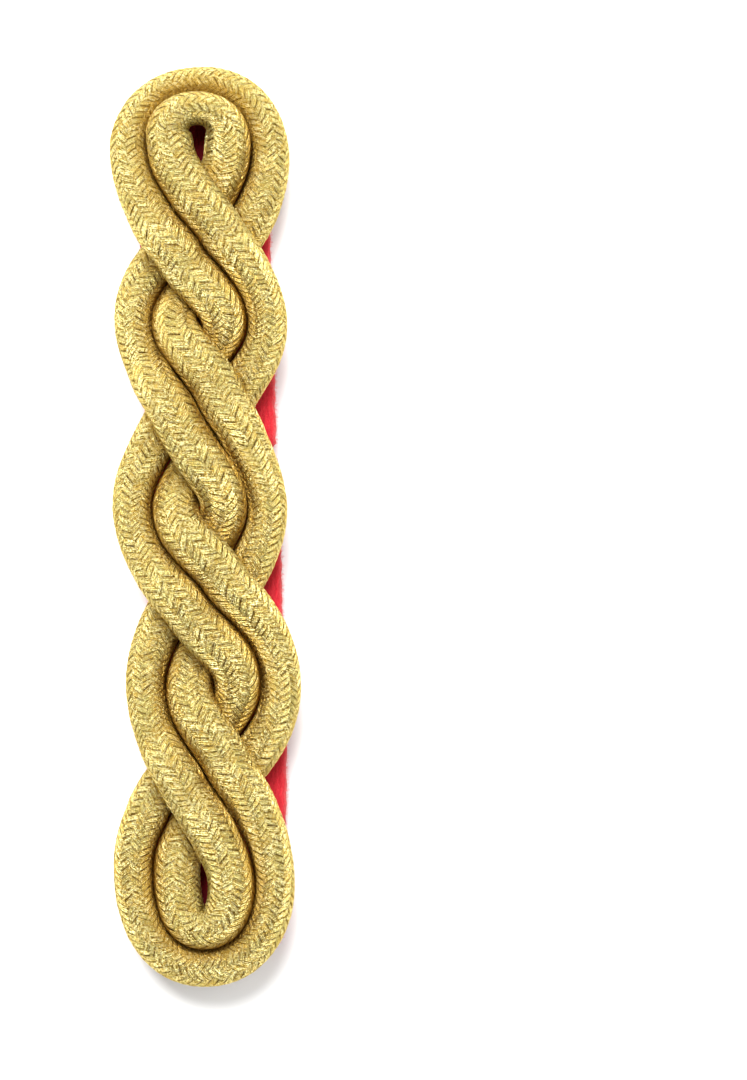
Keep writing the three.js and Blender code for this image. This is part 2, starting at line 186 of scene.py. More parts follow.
def backing_edges(y):
    """The backing's left and right edges at a place along it."""
    along = 0.5 - y / LENGTH
    left = column_at(BACKING_EDGES, 1, along) * BACKING_WIDTH
    right = column_at(BACKING_EDGES, 2, along) * BACKING_WIDTH - GRIP_SQUEEZE * grip(y)
    return left, right


def backing_thickness(y):
    return BACKING_THICKNESS - (KEEPER_WALL + CLEARANCE) * grip(y)


def strap_middle(y):
    return column_at(STRAP_LINE, 1, 0.5 - y / LENGTH) * BACKING_WIDTH


# The cords' middle lines, settled as in the part

SHARE = np.arange(LINE_STEPS) / LINE_STEPS


def pass_between(start, end, over, bend):
    """Columns x, y, level, wide, spread, bend and pinch of one pass from loop to loop."""
    rise = np.sin(np.pi * SHARE)
    wide = 1 + (CROSSING_WIDTH - 1) * rise**2
    x = start[0] + (end[0] - start[0]) * (0.5 - 0.5 * np.cos(np.pi * SHARE))
    y = start[1] + (end[1] - start[1]) * SHARE
    level = rise if over else -rise
    return np.column_stack([x, y, level, wide, wide, bend * np.cos(np.pi * SHARE), 0 * x])


def turn_round(start, end, end_y, spread, pinch):
    """The same columns round an end loop."""
    across, out = np.cos(np.pi * SHARE), np.sin(np.pi * SHARE)
    side_y = start[1] + (end[1] - start[1]) * SHARE
    bulge = np.sign(across) * np.abs(across) ** END_ROUNDNESS
    x = (start[0] + end[0]) / 2 + (start[0] - end[0]) / 2 * bulge
    y = side_y + (end_y - side_y) * out**END_ROUNDNESS
    still = np.ones_like(x)
    return np.column_stack([x, y, 0 * x, still, 1 + (spread - 1) * out, still, pinch * out**2])


def pair_line():
    """The closed line midway between the two cords, as drawn before they settle."""
    left = [(row[1] * CORD_DIAMETER, LENGTH * (0.5 - row[0])) for row in LOOPS]
    right = [(row[3] * CORD_DIAMETER, LENGTH * (0.5 - row[2])) for row in LOOPS]
    last = len(LOOPS) - 1
    top_y = LENGTH / 2 - CORD_DIAMETER / 2 * (1 + TOP_SPREAD)
    bottom_y = -LENGTH / 2 + CORD_DIAMETER / 2 * (1 + BOTTOM_SPREAD)
    parts = [turn_round(right[0], left[0], top_y, TOP_SPREAD, TOP_PINCH)]
    for loop in range(last):
        is_left = loop % 2 == 0
        pair = (left[loop], right[loop + 1]) if is_left else (right[loop], left[loop + 1])
        parts.append(pass_between(*pair, is_left, 1 if is_left else -1))
    parts.append(turn_round(left[last], right[last], bottom_y, BOTTOM_SPREAD, BOTTOM_PINCH))
    for loop in range(last, 0, -1):
        is_left = (last - loop) % 2 == 1
        pair = (left[loop], right[loop - 1]) if is_left else (right[loop], left[loop - 1])
        parts.append(pass_between(*pair, not is_left, -1 if is_left else 1))
    return np.vstack(parts)


def evenly(points, count):
    """Evenly spaced rows on a closed line whose first three columns are its place."""
    after = np.roll(points, -1, axis=0)
    lengths = np.linalg.norm(after[:, :3] - points[:, :3], axis=1)
    ends = np.cumsum(lengths)
    along = ends[-1] * np.arange(count) / count
    segment = np.minimum(np.searchsorted(ends, along, side="left"), len(points) - 1)
    share = (along - (ends - lengths)[segment]) / lengths[segment]
    return points[segment] + (after[segment] - points[segment]) * share[:, None]


def cord_beside(line, sideways, inner):
    """One cord of the pair: half a diameter to one side of the line, with its width."""
    x, y, level, wide, spread, bend, pinch = line.T
    dx = np.roll(x, -1) - np.roll(x, 1)
    dy = np.roll(y, -1) - np.roll(y, 1)
    length = np.hypot(dx, dy)
    half = CORD_DIAMETER / 2 * spread * sideways
    stacked = np.sqrt(1 - np.minimum(1, spread) ** 2) if inner else 0
    z = CORD_DIAMETER * (1 + level / 2 + stacked)
    widening = INSIDE_WIDENING * np.maximum(0, -sideways * bend)
    wide = wide + widening - (pinch if inner else 0)
    beside = np.column_stack([x + half * dy / length, y - half * dx / length, z, wide])
    return evenly(beside, SETTLING_POINTS)


def near_pairs(places):
    """Pairs of points that are near enough to touch, and not on one stretch of cord."""
    count = SETTLING_POINTS
    step = np.hypot(*(places[1, :2] - places[0, :2]))
    stretch = SAME_STRETCH * CORD_DIAMETER / step
    a, b = np.triu_indices(len(places), 1)
    seen_apart = np.hypot(*(places[a, :2] - places[b, :2]).T)
    steps = np.abs(a % count - b % count)
    same = (a // count == b // count) & (np.minimum(steps, count - steps) < stretch)
    keep = (seen_apart < NEAR * CORD_DIAMETER) & ~same
    return a[keep], b[keep]


def push_apart(points, a, b):
    """Moves touching points half of their overlap each, and keeps all off the backing."""
    wide = (points[a, 3] + points[b, 3]) / 2
    apart = points[a, :3] - points[b, :3]
    distance = np.sqrt((apart[:, 0] / wide) ** 2 + (apart[:, 1] / wide) ** 2 + apart[:, 2] ** 2)
    touching = distance < CORD_DIAMETER
    a, b, apart, distance = a[touching], b[touching], apart[touching], distance[touching]
    push = apart * ((CORD_DIAMETER - distance) / (2 * distance))[:, None]
    total = np.zeros((len(points), 3))
    np.add.at(total, a, push)
    np.add.at(total, b, -push)
    count = np.bincount(a, minlength=len(points)) + np.bincount(b, minlength=len(points))
    points[:, :3] += total / np.maximum(1, count)[:, None]
    points[:, 2] = np.maximum(points[:, 2], CORD_DIAMETER / 2)


def settled_cords():
    """Both cords, sunk onto the backing until no two stretches press into each other."""
    line = pair_line()
    places = np.vstack([cord_beside(line, 1, False), cord_beside(line, -1, True)])
    points = places.copy()
    a, b = near_pairs(places)
    for settling in range(SETTLING_ROUNDS + FINAL_ROUNDS):
        if settling < SETTLING_ROUNDS:
            for start in (0, SETTLING_POINTS):
                cord = slice(start, start + SETTLING_POINTS)
                z = points[cord, 2]
                between = (np.roll(z, STIFF_REACH) + np.roll(z, -STIFF_REACH)) / 2
                points[cord, :2] += HOLD * (places[cord, :2] - points[cord, :2])
                points[cord, 2] = z + SMOOTHING * (between - z) - SINKING * CORD_DIAMETER
        push_apart(points, a, b)
    return points[:SETTLING_POINTS], points[SETTLING_POINTS:]


class Cord:
    """A settled cord as a smooth closed line with a side and an up direction all along it."""

    STATIONS = 3000

    def __init__(self, points):
        even = evenly(points, self.STATIONS // 10)
        spectrum = np.fft.rfft(even, axis=0)
        fade = np.exp(-((np.arange(len(spectrum)) / 90.0) ** 4))
        padded = np.zeros((self.STATIONS // 2 + 1, even.shape[1]), complex)
        padded[: len(spectrum)] = spectrum * fade[:, None]
        smooth = np.fft.irfft(padded, self.STATIONS, axis=0) * (self.STATIONS / len(even))
        self.places = smooth[:, :3]
        self.wide = smooth[:, 3]
        ahead = np.roll(self.places, -1, axis=0) - np.roll(self.places, 1, axis=0)
        steps = np.linalg.norm(np.roll(self.places, -1, axis=0) - self.places, axis=1)
        self.length = steps.sum()
        self.along = np.concatenate([[0], np.cumsum(steps)])
        ahead /= np.linalg.norm(ahead, axis=1)[:, None]
        side = np.cross([0, 0, 1.0], ahead)
        self.side = side / np.linalg.norm(side, axis=1)[:, None]
        self.up = np.cross(ahead, self.side)
        reach = self.STATIONS // 150
        flat = self.places[:, :2]
        coming = flat - np.roll(flat, reach, axis=0)
        going = np.roll(flat, -reach, axis=0) - flat
        crossed = coming[:, 0] * going[:, 1] - coming[:, 1] * going[:, 0]
        turn = np.arctan2(crossed, (coming * going).sum(axis=1))
        self.bend = 2 * turn / (np.linalg.norm(coming, axis=1) + np.linalg.norm(going, axis=1))

    def read(self, rows, along):
        closed = np.concatenate([rows, rows[:1]])
        at = np.mod(along, self.length)
        if closed.ndim == 1:
            return np.interp(at, self.along, closed)
        return np.stack([np.interp(at, self.along, closed[:, k]) for k in range(3)], axis=-1)

    def grid(self, rows, sides):
        """Places along and angles round the cord, evenly spaced."""
        along, turns = np.arange(rows) * self.length / rows, np.arange(sides) * 2 * np.pi / sides
        return np.meshgrid(along, turns, indexing="ij")

    def skin(self, along, angle, radius):
        """Places on the cord's skin, pressed flat and laid on the backing."""
        full = (np.abs(np.cos(angle)) ** ROUND_POWER + np.abs(np.sin(angle)) ** ROUND_POWER)
        radius = radius / full ** (1 / ROUND_POWER)
        out = np.cos(angle) * radius * self.read(self.wide, along)
        folding = np.maximum(0, out * self.read(self.bend, along))
        out = out / (1 + (folding / FOLD_LIMIT) ** SQUEEZE_POWER) ** (1 / SQUEEZE_POWER)
        up = np.sin(angle) * radius
        place = (
            self.read(self.places, along)
            + self.read(self.side, along) * out[..., None]
            + self.read(self.up, along) * up[..., None]
        )
        place[..., 2] = place[..., 2] * CORD_FLATNESS + CORD_LEVEL + lift(place[..., 1])
        return place


# Meshes


def mesh_piece(name, points, faces, materials, face_material=None, values=None, uv=None):
    """A mesh object from points in millimetres. values: name to one number for each point."""
    mesh = bpy.data.meshes.new(name)
    mesh.from_pydata((np.asarray(points) * MM).tolist(), [], [list(f) for f in faces])
    for material in materials:
        mesh.materials.append(material)
    if face_material is not None:
        mesh.polygons.foreach_set("material_index", np.asarray(face_material, np.int32))
    mesh.polygons.foreach_set("use_smooth", [True] * len(mesh.polygons))
    for key, value in (values or {}).items():
        layer = mesh.attributes.new(key, "FLOAT", "POINT")
        layer.data.foreach_set("value", np.asarray(value, np.float32))
    if uv is not None:
        corner = np.zeros(len(mesh.loops), np.int32)
        mesh.loops.foreach_get("vertex_index", corner)
        layer = mesh.uv_layers.new(name="thread")
        layer.data.foreach_set("uv", np.asarray(uv, np.float32)[corner].ravel())
    mesh.update()
    piece = bpy.data.objects.new(name, mesh)
    bpy.context.scene.collection.objects.link(piece)
    return piece


def grid_faces(rows, columns, start=0, close_rows=False, close_columns=False):
    """Four-sided faces over a grid of points numbered row by row."""
    row = np.arange(rows if close_rows else rows - 1)
    column = np.arange(columns if close_columns else columns - 1)
    r, c = np.meshgrid(row, column, indexing="ij")
    r2, c2 = (r + 1) % rows, (c + 1) % columns
    corners = [r * columns + c, r * columns + c2, r2 * columns + c2, r2 * columns + c]
    return np.stack(corners, axis=-1).reshape(-1, 4) + start


def groove_shade(cord, other, rows):
    """How near each place round a cord is to another stretch: 1 in a groove, 0 in the open. The gold is
    darkened with it as painted shade in the grooves and under crossings.
    """
    along, turn = cord.grid(rows, GROOVE_SIDES)
    place = cord.skin(along, turn, BRAID_RADIUS)
    nearest = np.full(along.shape, 1e9)
    for line_of in (cord, other):
        mark = np.arange(rows) * line_of.length / rows
        line = line_of.skin(mark, 0 * mark, 0)
        far = np.linalg.norm(place[:, :, None, :] - line[None, None, :, :], axis=-1)
        if line_of is cord:
            apart = np.abs(along[:, :, None] - mark[None, None, :])
            apart = np.minimum(apart, cord.length - apart)
            far = np.where(apart < 2.5 * CORD_DIAMETER, 1e9, far)
        nearest = np.minimum(nearest, far.min(axis=-1))
    return 1 - smoothstep(nearest / CORD_DIAMETER, 0.6, 0.98)


def read_round(grid, row, column):
    """Values between the places of a grid that closes on itself both ways."""
    rows, columns = grid.shape
    low_row, low_column = np.floor(row).astype(int), np.floor(column).astype(int)
    u, v = row - low_row, column - low_column
    r0, r1 = low_row % rows, (low_row + 1) % rows
    c0, c1 = low_column % columns, (low_column + 1) % columns
    near = grid[r0, c0] * (1 - v) + grid[r0, c1] * v
    far = grid[r1, c0] * (1 - v) + grid[r1, c1] * v
    return near * (1 - u) + far * u


def make_cord(name, cord, other, seed, gold, dark):
    """The braided skin: every float of every strand is a small pillow over a core whose near-black colour
    is painted shade.
    """
    chance = np.random.default_rng(seed)
    rows = int(round(cord.length / BRAID_PITCH))
    pitch = cord.length / rows
    column_angle = 2 * np.pi / BRAID_COLUMNS
    column, row = np.meshgrid(np.arange(BRAID_COLUMNS), np.arange(rows), indexing="ij")
    column, row = column.ravel(), row.ravel()
    count = len(column)
    slant = np.where(column % 2 == 0, 1.0, -1.0)
    turn = (column + 0.5) * column_angle
    along = (row + np.where(column % 2 == 0, 0.25, 0.75)) * pitch
    turn = turn + chance.normal(0, 0.02, count) * column_angle
    along = along + chance.normal(0, 0.02, count) * pitch
    rise = chance.normal(0, 0.012, count)
    lean = 1 + chance.normal(0, 0.04, count)
    reach = 1 + FLOAT_OVERLAP
    lengthwise = np.array([-reach, -1.02, -0.6, 0, 0.6, 1.02, reach])
    crosswise = np.array([-1, -0.82, 0, 0.82, 1.0])
    a, b = np.meshgrid(lengthwise, crosswise, indexing="ij")
    a, b = a.ravel()[None, :], b.ravel()[None, :]
    drift = 0.5 * np.sin(2 * np.pi * 3 * along / cord.length + seed)
    angle = turn[:, None] + drift[:, None] + a * column_angle / 2
    s = along[:, None] + (a * (slant * lean)[:, None] + b * 1.12) * pitch / 2
    dip = smoothstep(np.abs(a), 0.6, reach)
    crown = FLOAT_ROUNDING * (0.3 * b**2 + 0.7 * smoothstep(np.abs(b), 0.7, 1.0))
    height = BRAID_CREST + rise[:, None] - FLOAT_DIP * dip - crown
    skin = cord.skin(s, angle, BRAID_RADIUS + height).reshape(-1, 3)
    one = grid_faces(len(lengthwise), len(crosswise))
    starts = np.arange(count)[:, None, None] * a.size
    floats = (one[None] + starts).reshape(-1, 4)
    core = cord.skin(*cord.grid(rows, CORE_SIDES), CORE_RADIUS).reshape(-1, 3)
    tube = grid_faces(rows, CORE_SIDES, len(skin), True, True)
    # Painted shade mask, kept as rise: 1 on the open middle of a float, lower at its dipped ends and its
    # sides, where the gold is darkened.
    deep = np.repeat(1 - 0.25 * dip - smoothstep(np.abs(b), 0.7, 1.0), count, axis=0)
    tone = np.repeat(chance.random(count), a.size)
    # Painted shade: the side value darkens the gold where another stretch of cord lies close, in the
    # grooves and under crossings.
    shade = groove_shade(cord, other, rows)
    side = read_round(shade, s / pitch, angle * GROOVE_SIDES / (2 * np.pi)).ravel()
    pad = np.zeros(len(core))
    uv = np.column_stack([
        np.tile(a.ravel() * 0.5 + 0.5, count) + np.repeat(chance.integers(0, 97, count), a.size),
        np.tile(b.ravel() * 0.5 + 0.5, count) + np.repeat(chance.integers(0, 89, count), a.size),
    ])
    return mesh_piece(
        name,
        np.vstack([skin, core]),
        np.vstack([floats, tube]),
        [gold, dark],
        np.concatenate([np.zeros(len(floats)), np.ones(len(tube))]),
        {
            # rise and side carry painted shade for the float ends and the grooves; tone is a random tone
            # for each float.
            "rise": np.concatenate([deep.ravel(), pad]),
            "tone": np.concatenate([tone, pad]),
            "side": np.concatenate([side, pad]),
        },
        np.vstack([uv, np.zeros((len(core), 2))]),
    )


def noise_at(x, y, z):
    """Smooth noise, from about -1 to 1, at places given by their columns."""
    return np.array([noise.noise(Vector(place)) for place in zip(*np.broadcast_arrays(x, y, z))])


def wobble(points, scale, seed):
    """Smooth noise at each point, shifted for each seed."""
    shift = Vector((seed * 3.1, seed * 1.7, seed * 2.3))
    return np.array([noise.noise(Vector(p) * scale + shift) for p in points])


def make_backing(felt):
    """The cloth pad, with soft uneven edges and a face that isn't quite flat."""
    top_y, bottom_y = BACKING_TOP_Y, BACKING_BOTTOM_Y
    turn = np.radians(np.linspace(4, 86, 12))
    y = np.concatenate([
        top_y - BACKING_CORNER * (1 - np.cos(turn)),
        np.linspace(top_y - BACKING_CORNER, bottom_y + BACKING_CORNER, BACKING_ROWS),
        bottom_y + BACKING_CORNER * (1 - np.cos(turn[::-1])),
    ])
    inset = np.concatenate([
        BACKING_CORNER * (1 - np.sin(turn)),
        np.zeros(BACKING_ROWS),
        BACKING_CORNER * (1 - np.sin(turn[::-1])),
    ])
    left, right = backing_edges(y)
    left, right = left + inset + EDGE_WORN, right - inset - EDGE_WORN
    under = lift(y) + BACKING_LEVEL
    thick = backing_thickness(y)
    to_end = np.clip(np.minimum(top_y - y, y - bottom_y) / EDGE_ROUNDING, 0.03, 1)
    soft = thick * np.sqrt(1 - (1 - to_end) ** 2)
    across = np.linspace(-1, 1, FACE_POINTS)
    round_share = np.abs(across) ** 14
    side = np.radians(np.linspace(-90, 90, SIDE_POINTS + 2)[1:-1])
    points = []
    for k in range(len(y)):
        middle, half = (left[k] + right[k]) / 2, (right[k] - left[k]) / 2
        edge = min(EDGE_ROUNDING, half * 0.5)
        flat = middle + across * (half - edge)
        puff = soft[k] / 2 * (1 - 0.12 * round_share)
        centre = under[k] + thick[k] / 2
        upper = np.column_stack([flat, np.full(FACE_POINTS, y[k]), centre + puff])
        lower = np.column_stack([flat[::-1], np.full(FACE_POINTS, y[k]), centre - puff])
        right_side, left_side = (
            np.column_stack([
                middle + outward * (half - edge + np.cos(turn_side) * edge),
                np.full(SIDE_POINTS, y[k]),
                centre + np.sin(turn_side) * soft[k] / 2 * 0.88,
            ])
            for outward, turn_side in ((1, side[::-1]), (-1, side))
        )
        points.append(np.vstack([upper, right_side, lower, left_side]))
    points = np.array(points)
    ring = points.shape[1]
    flat_points = points.reshape(-1, 3)
    middle = np.repeat((left + right) / 2, ring)
    rough = wobble(flat_points, 0.7, 1) * 0.22 + wobble(flat_points, 2.4, 2) * 0.1
    outward = np.sign(flat_points[:, 0] - middle)
    half_ring = FACE_POINTS + SIDE_POINTS
    last_low = half_ring + FACE_POINTS - 1
    at_side = np.zeros((len(y), ring), bool)
    at_side[:, FACE_POINTS:half_ring] = True
    at_side[:, last_low + 1:] = True
    ends = np.zeros((len(y), ring), bool)
    ends[:3] = True
    ends[-3:] = True
    flat_points[:, 0] += rough * outward * at_side.ravel()
    flat_points[:, 1] += rough * np.repeat(np.sign(y), ring) * ends.ravel()
    face = wobble(flat_points, 0.5, 3) * 0.05 + wobble(flat_points, 1.8, 4) * 0.05
    flat_points[:, 2] += face * (~at_side.ravel()) * np.repeat(1 - grip(y), ring)
    faces = [list(f) for f in grid_faces(len(y), ring, close_columns=True)]
    first, last = np.arange(ring), np.arange(ring) + (len(y) - 1) * ring
    for start, order in ((first, 1), (last, -1)):
        caps = [
            [start[k], start[k + 1], start[last_low - k - 1], start[last_low - k]]
            for k in range(FACE_POINTS - 1)
        ]
        caps.append(start[FACE_POINTS - 1:half_ring + 1].tolist())
        caps.append([*start[last_low:], start[0]])
        faces += [cap[::order] for cap in caps]
    on_top = np.tile(np.arange(ring) < FACE_POINTS, len(y))
    woven = ~(at_side | np.repeat((to_end < 1)[:, None], ring, axis=1)).ravel()
    # Painted shade mask: the top face under the middle of the cords, darkened in the felt's colour.
    under_cords_shade = on_top * (1 - smoothstep(np.abs(flat_points[:, 0]), 4.0, 7.0))
    marks = {"under_cords_shade": under_cords_shade, "woven": woven}
    return mesh_piece("felt_backing", flat_points, faces, [felt], values=marks)


def make_fuzz(felt):
    """Loose fibres that stand out of the backing's edges and faces."""
    chance = np.random.default_rng(FUZZ_SEED)
    count = FIBRES
    top_y, bottom_y = BACKING_TOP_Y, BACKING_BOTTOM_Y
    y = chance.uniform(bottom_y + 0.6, top_y - 0.6, count)
    left, right = backing_edges(y)
    corner = np.maximum(0, BACKING_CORNER - np.minimum(top_y - y, y - bottom_y))
    inset = BACKING_CORNER - np.sqrt(np.maximum(0, BACKING_CORNER**2 - corner**2))
    left, right = left + inset + EDGE_WORN, right - inset - EDGE_WORN
    under = lift(y) + BACKING_LEVEL
    thick = backing_thickness(y)
    kind = chance.random(count)
    x = np.where(kind < 0.36, left + 0.2, right - 0.2)
    on_face = kind > 0.78
    x = np.where(on_face, chance.uniform(left + 0.5, right - 0.5), x)
    z = under + thick * chance.uniform(0.05, 0.95, count)
    z = np.where(on_face, under + 0.08, z)
    out = np.where(kind < 0.36, -1.0, 1.0)
    away = np.column_stack([
        np.where(on_face, chance.normal(0, 0.8, count), out),
        chance.normal(0, 0.7, count),
        np.where(on_face, -0.45, chance.normal(0, 0.35, count)),
    ])
    away /= np.linalg.norm(away, axis=1)[:, None]
    bend = np.cross(away, chance.normal(0, 1, (count, 3)))
    bend /= np.linalg.norm(bend, axis=1)[:, None]
    reach = chance.uniform(0.25, 0.75, count) * np.where(on_face, 0.5, 1)
    start = np.column_stack([x, y, z])
    shares = np.array([0, 0.5, 1.0])
    curl = chance.uniform(-0.35, 0.35, count)
    second = np.cross(away, bend)
    points = []
    for share in shares:
        middle = start + away * (reach * share)[:, None] + bend * (curl * reach * share**2)[:, None]
        thin = FIBRE_RADIUS * (1 - 0.6 * share)
        for turn in (0, 2.1, 4.2):
            points.append(middle + bend * math.cos(turn) * thin + second * math.sin(turn) * thin)
    points = np.stack(points, axis=1).reshape(-1, 3)
    points[:, 2] = np.maximum(points[:, 2], 0.05)
    one = grid_faces(3, 3, close_columns=True)
    tips = np.array([[6, 7, 8]])
    starts = np.arange(count)[:, None, None] * 9
    sides = (one[None] + starts).reshape(-1, 4)
    ends = (tips[None] + starts).reshape(-1, 3)
    return mesh_piece("felt_fuzz", points, [*sides.tolist(), *ends.tolist()], [felt])


# Corners of the stitched box on the lower end of the strap, seen from the front
STITCH_BOX = {
    "upper_left": (-6.8, -44.5),
    "upper_right": (6.9, -43.5),
    "lower_left": (-4.8, -58.5),
    "lower_right": (6.6, -59.2),
}
STITCH_SEAMS = [
    # from, to, stitches, half length and half width of the needle's pits
    ("upper_left", "upper_right", 6, 0.4, 0.3),
    ("upper_right", "lower_right", 7, 0.7, 0.22),
    ("lower_right", "lower_left", 5, 0.4, 0.26),
    ("lower_left", "upper_left", 6, 0.34, 0.26),
    ("upper_left", "lower_right", 8, 0.48, 0.32),
    ("upper_right", "lower_left", 8, 0.44, 0.2),
]
SEAM_DIP = 0.42  # of the leather along a row of stitches
SEAM_REACH = 0.75
STITCH_RADIUS = 0.13
# The needle's two holes in the cloth beside the box: x, y, radius
CLOTH_HOLES = [(-9.3, -58.5, 0.5), (-9.3, -59.8, 0.4)]


def stitches():
    """The start and end of every stitch."""
    found = []
    for start, end, count, _, _ in STITCH_SEAMS:
        a, b = np.array(STITCH_BOX[start]), np.array(STITCH_BOX[end])
        marks = [a + (b - a) * k / count for k in range(count + 1)]
        found += list(zip(marks[:-1], marks[1:], strict=True))
    return found


def seam_distance(x, y):
    """How far points are from the nearest stitch, and how near its middle they are."""
    best = np.full(x.shape, 1e9)
    mid = np.zeros(x.shape)
    for a, b in stitches():
        run = b - a
        share = np.clip(((x - a[0]) * run[0] + (y - a[1]) * run[1]) / (run @ run), 0, 1)
        far = np.hypot(x - a[0] - run[0] * share, y - a[1] - run[1] * share)
        nearer = far < best
        best = np.where(nearer, far, best)
        mid = np.where(nearer, 1 - np.abs(2 * share - 1), mid)
    return best, mid


def back_relief(x, y):
    """How far the strap's outer face is drawn in at places on it: creases and puckers."""
    flat = [(px, py, 0.0) for px, py in zip(x, y, strict=True)]
    near_keeper = np.exp(-(((y - KEEPER_Y - 9.5) / 5.0) ** 2))
    lower = smoothstep(-(y + 2), 0, 8) * smoothstep(y + 42, 0, 8)
    waves = noise_at(x * 0.12 + 3, y * 1.15 + 9, 0)
    slanted = noise_at(x * 0.28 + y * 0.14, y * 0.95 - x * 0.25, 4)
    crease = near_keeper * np.clip(waves - 0.02, 0, 1) * 0.75
    crease += lower * np.clip(slanted - 0.06, 0, 1) * 0.5
    soft = (wobble(flat, 0.35, 6) + 1) * 0.05
    seam, mid = seam_distance(x, y)
    dip = SEAM_DIP * np.exp(-((seam / SEAM_REACH) ** 2)) * (0.75 + 0.25 * (1 - mid))
    inside = np.exp(-(((x - 0.6) / 7.8) ** 6)) * np.exp(-(((y + 51.3) / 9.4) ** 6))
    drawn = noise_at(x * 0.45, y * 1.5, 7)
    pucker = inside * (wobble(flat, 0.7, 8) * 0.14 + drawn * 0.2 + 0.12)
    return crease + soft + dip + pucker


def make_strap(leather, raw):
    """The strap: two faces of leather with creases, round at the top, and raw cut edges."""
    top_y = LENGTH * (0.5 - STRAP_TOP)
    bottom_y = LENGTH * (0.5 - STRAP_BOTTOM)
    half = STRAP_WIDTH / 2
    angle = np.radians(np.linspace(3, 90, 26))
    y = np.concatenate([
        top_y - half * (1 - np.cos(angle))[:-1],
        np.linspace(top_y - half, bottom_y, STRAP_ROWS),
    ])
    reach = np.concatenate([half * np.sin(angle)[:-1], np.full(STRAP_ROWS, half)])
    columns = STRAP_COLUMNS
    across = np.linspace(-1, 1, columns)
    flat_x = strap_middle(y)[:, None] + across[None, :] * reach[:, None]
    flat_y = np.repeat(y[:, None], columns, axis=1)
    edge = np.abs(across)[None, :] ** 30
    ragged = noise_at(0, y * 1.7, 0) * 0.12
    flat_x = flat_x + np.sign(across)[None, :] * edge * ragged[:, None]
    cut = smoothstep(-(flat_y - bottom_y - 1.2), 0, 1.2)
    cut_line = 0.35 * np.cos(across * 2.2) - 0.45 + 0.5 * smoothstep(across, 0.72, 0.8)
    flat_y = flat_y + cut * cut_line[None, :]
    hole = np.array([strap_middle(np.array(top_y - STRAP_HOLE_INSET)), top_y - STRAP_HOLE_INSET])
    from_hole = np.hypot(flat_x - hole[0], flat_y - hole[1])
    inside = from_hole < STRAP_HOLE / 2
    faces = grid_faces(len(y), columns)
    gone = inside.ravel()[faces].any(axis=1)
    kept = faces[~gone]
    rim = np.intersect1d(np.unique(faces[gone]), np.unique(kept))
    x, yy = flat_x.ravel().copy(), flat_y.ravel().copy()
    scale = (STRAP_HOLE / 2) / from_hole.ravel()[rim]
    x[rim] = hole[0] + (x[rim] - hole[0]) * scale
    yy[rim] = hole[1] + (yy[rim] - hole[1]) * scale
    relief = back_relief(x, yy)
    far = np.minimum(np.abs(np.hypot(x - hole[0], yy - hole[1]) - STRAP_HOLE / 2), 3)
    relief = relief + 0.14 * np.exp(-((far / 0.35) ** 2))
    rounded = np.tile(np.abs(across) ** 18, len(y)) * 0.2
    base = lift(yy)
    lower = np.column_stack([x, yy, base + relief + rounded])
    upper = np.column_stack([x, yy, base + STRAP_THICKNESS - rounded * 0.5])
    count = len(x)
    edges = np.vstack([kept[:, [0, 1]], kept[:, [1, 2]], kept[:, [2, 3]], kept[:, [3, 0]]])
    key = np.sort(edges, axis=1)
    _, place, times = np.unique(key, axis=0, return_index=True, return_counts=True)
    border = edges[place[times == 1]]
    around = np.unique(border)
    number = {v: k for k, v in enumerate(around)}
    middle = (lower[around] + upper[around]) / 2
    fray = wobble(middle, 3.3, 11) * 0.16 + 0.05
    centre = strap_middle(middle[:, 1])
    outward = np.column_stack([np.sign(middle[:, 0] - centre), np.zeros(len(middle))])
    outward[middle[:, 1] < bottom_y + 1.0] = (0, -1)
    near_hole = np.hypot(middle[:, 0] - hole[0], middle[:, 1] - hole[1]) < STRAP_HOLE
    middle[:, :2] += outward * (fray * ~near_hole)[:, None]
    points = np.vstack([lower, upper, middle])
    wall = []
    for start, end in border:
        m, n = 2 * count + number[start], 2 * count + number[end]
        wall.append([start, end, n, m])
        wall.append([m, n, end + count, start + count])
    all_faces = [*kept[:, ::-1].tolist(), *(kept + count).tolist(), *wall]
    used = np.unique(np.concatenate([np.asarray(f) for f in all_faces]))
    renumber = np.full(len(points), -1)
    renumber[used] = np.arange(len(used))
    all_faces = [[int(renumber[v]) for v in f] for f in all_faces]
    which = np.concatenate([np.zeros(2 * len(kept)), np.ones(len(wall))])
    pale = np.tile(smoothstep(across, 0.955, 0.995), len(y)) * smoothstep(-(yy + 34), 0, 3)
    pale += np.tile(smoothstep(-across, 0.955, 0.995), len(y)) * 0.62
    worn = np.concatenate([pale, pale, np.ones(len(middle))])[used]
    return mesh_piece("strap_leather", points[used], all_faces, [leather, raw], which, {"worn": worn})


